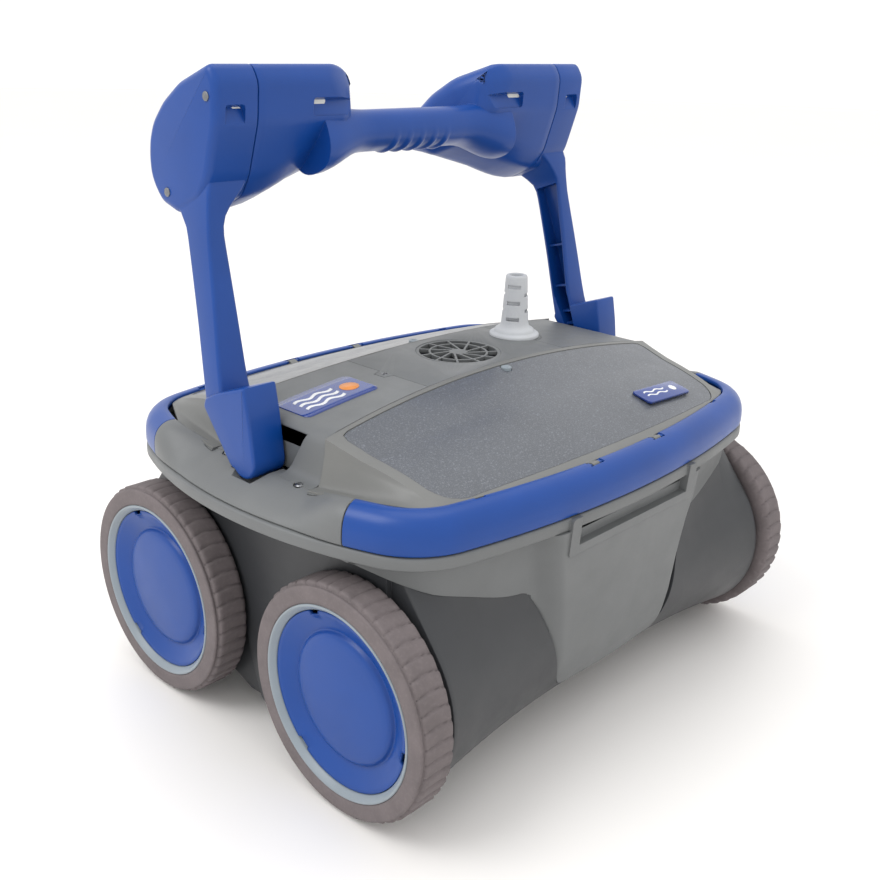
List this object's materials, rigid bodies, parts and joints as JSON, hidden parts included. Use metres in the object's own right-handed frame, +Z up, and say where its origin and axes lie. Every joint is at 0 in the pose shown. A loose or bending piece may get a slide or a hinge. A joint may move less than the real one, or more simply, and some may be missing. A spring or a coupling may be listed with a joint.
{
  "type": "pool cleaner",
  "caption": "Four-wheeled robotic pool cleaner with a tilting float handle, two hinged filter doors and a bumper at each end.",
  "frame": {"origin": "centre of the footprint, on the floor under the wheels", "axes": "+X to the right seen from the front, +Y towards the rear, +Z up"},
  "size_m": [0.441, 0.3614, 0.4508],
  "materials": {
    "blue_plastic": "semi-gloss",
    "grey_plastic": "fine moulded texture",
    "pale_plastic": "fine moulded texture",
    "dark_plastic": "satin",
    "window_plastic": "smoked, speckled",
    "badge_blue": "gloss",
    "tyre_rubber": "matte",
    "ring_plastic": "satin",
    "boot_rubber": "satin",
    "steel": "brushed",
    "black_plastic": "satin",
    "seal_rubber": "matte",
    "motor_can": "satin",
    "board_green": "soldermask",
    "filter_paper": "pleated",
    "bush_plastic": "smooth",
    "impeller_plastic": "smooth",
    "foam": "closed-cell foam"
  },
  "bodies": {
    "root": {"lower_hull": "dark_plastic", "upper_hull": "grey_plastic", "front_bumper": "blue_plastic", "rear_bumper": "blue_plastic", "ridge_centre": "grey_plastic", "ridge_left": "grey_plastic", "ridge_right": "grey_plastic", "outlet_grille": "grey_plastic", "outlet_duct": "dark_plastic", "cable_boot": "boot_rubber", "ridge_screw": "steel", "rim_screws": "steel", "shoulder_badge": "badge_blue", "motor_box": "black_plastic", "motor_box_lid": "black_plastic", "motor_box_seal": "seal_rubber", "pump_motor": "motor_can", "drive_motor": "motor_can", "control_board": "board_green", "front_filter": "filter_paper", "rear_filter": "filter_paper", "axle_bushes": "bush_plastic", "handle_pins": "steel", "drive_belt": "seal_rubber", "front_door_pins": "blue_plastic", "rear_door_pins": "blue_plastic"},
    "front_door": {"front_door_frame": "pale_plastic", "front_window": "window_plastic", "front_plate": "badge_blue"},
    "front_latch": {"front_latch": "ring_plastic"},
    "rear_door": {"rear_door_frame": "pale_plastic", "rear_window": "window_plastic"},
    "rear_latch": {"rear_latch": "ring_plastic"},
    "handle": {"left_arm": "blue_plastic", "right_arm": "blue_plastic", "grip": "blue_plastic", "left_float": "foam", "right_float": "foam", "handle_screws": "steel"},
    "front_wheels": {"front_axle": "steel", "front_left_tyre": "tyre_rubber", "front_left_rim": "ring_plastic", "front_left_cover": "blue_plastic", "front_right_tyre": "tyre_rubber", "front_right_rim": "ring_plastic", "front_right_cover": "blue_plastic"},
    "rear_wheels": {"rear_axle": "steel", "rear_left_tyre": "tyre_rubber", "rear_left_rim": "ring_plastic", "rear_left_cover": "blue_plastic", "rear_right_tyre": "tyre_rubber", "rear_right_rim": "ring_plastic", "rear_right_cover": "blue_plastic"},
    "drive_shaft": {"drive_shaft": "steel"},
    "impeller": {"impeller": "impeller_plastic"},
    "front_flap": {"front_flap": "black_plastic"},
    "rear_flap": {"rear_flap": "black_plastic"}
  },
  "joints": [
    {"name": "handle_tilt", "type": "hinge", "parent": "root", "child": "handle", "pos_m": [0, 0.0035, 0.2075], "axis": [1, 0, 0], "range_deg": [0, 40.4]},
    {"name": "front_door_hinge", "type": "hinge", "parent": "root", "child": "front_door", "pos_m": [0, -0.1572, 0.208], "axis": [1, 0, 0], "range_deg": [0, 95]},
    {"name": "rear_door_hinge", "type": "hinge", "parent": "root", "child": "rear_door", "pos_m": [0, 0.1572, 0.208], "axis": [-1, 0, 0], "range_deg": [0, 95]},
    {"name": "front_latch_press", "type": "slide", "parent": "front_door", "child": "front_latch", "axis": [0, 0, -1], "range_m": [0, 0.0025], "stiffness_N_per_m": 800},
    {"name": "rear_latch_press", "type": "slide", "parent": "rear_door", "child": "rear_latch", "axis": [0, 0, -1], "range_m": [0, 0.0025], "stiffness_N_per_m": 800},
    {"name": "front_wheel_spin", "type": "hinge", "parent": "root", "child": "front_wheels", "pos_m": [0, -0.1007, 0.08], "axis": [1, 0, 0], "continuous": true},
    {"name": "rear_wheel_spin", "type": "hinge", "parent": "root", "child": "rear_wheels", "pos_m": [0, 0.1007, 0.08], "axis": [1, 0, 0], "continuous": true},
    {"name": "drive_shaft_spin", "type": "hinge", "parent": "root", "child": "drive_shaft", "pos_m": [0.15, 0, 0.114], "axis": [1, 0, 0], "continuous": true},
    {"name": "impeller_spin", "type": "hinge", "parent": "root", "child": "impeller", "pos_m": [0, 0, 0.17], "axis": [0, 0, 1], "continuous": true},
    {"name": "front_flap_hinge", "type": "hinge", "parent": "root", "child": "front_flap", "pos_m": [0, -0.038, 0.0213], "axis": [-1, 0, 0], "range_deg": [0, 60]},
    {"name": "rear_flap_hinge", "type": "hinge", "parent": "root", "child": "rear_flap", "pos_m": [0, 0.038, 0.0213], "axis": [1, 0, 0], "range_deg": [0, 60]}
  ],
  "couplings": [
    {"joint": "rear_wheel_spin", "follows": "front_wheel_spin", "ratio": 1},
    {"joint": "drive_shaft_spin", "follows": "front_wheel_spin", "ratio": 1}
  ]
}
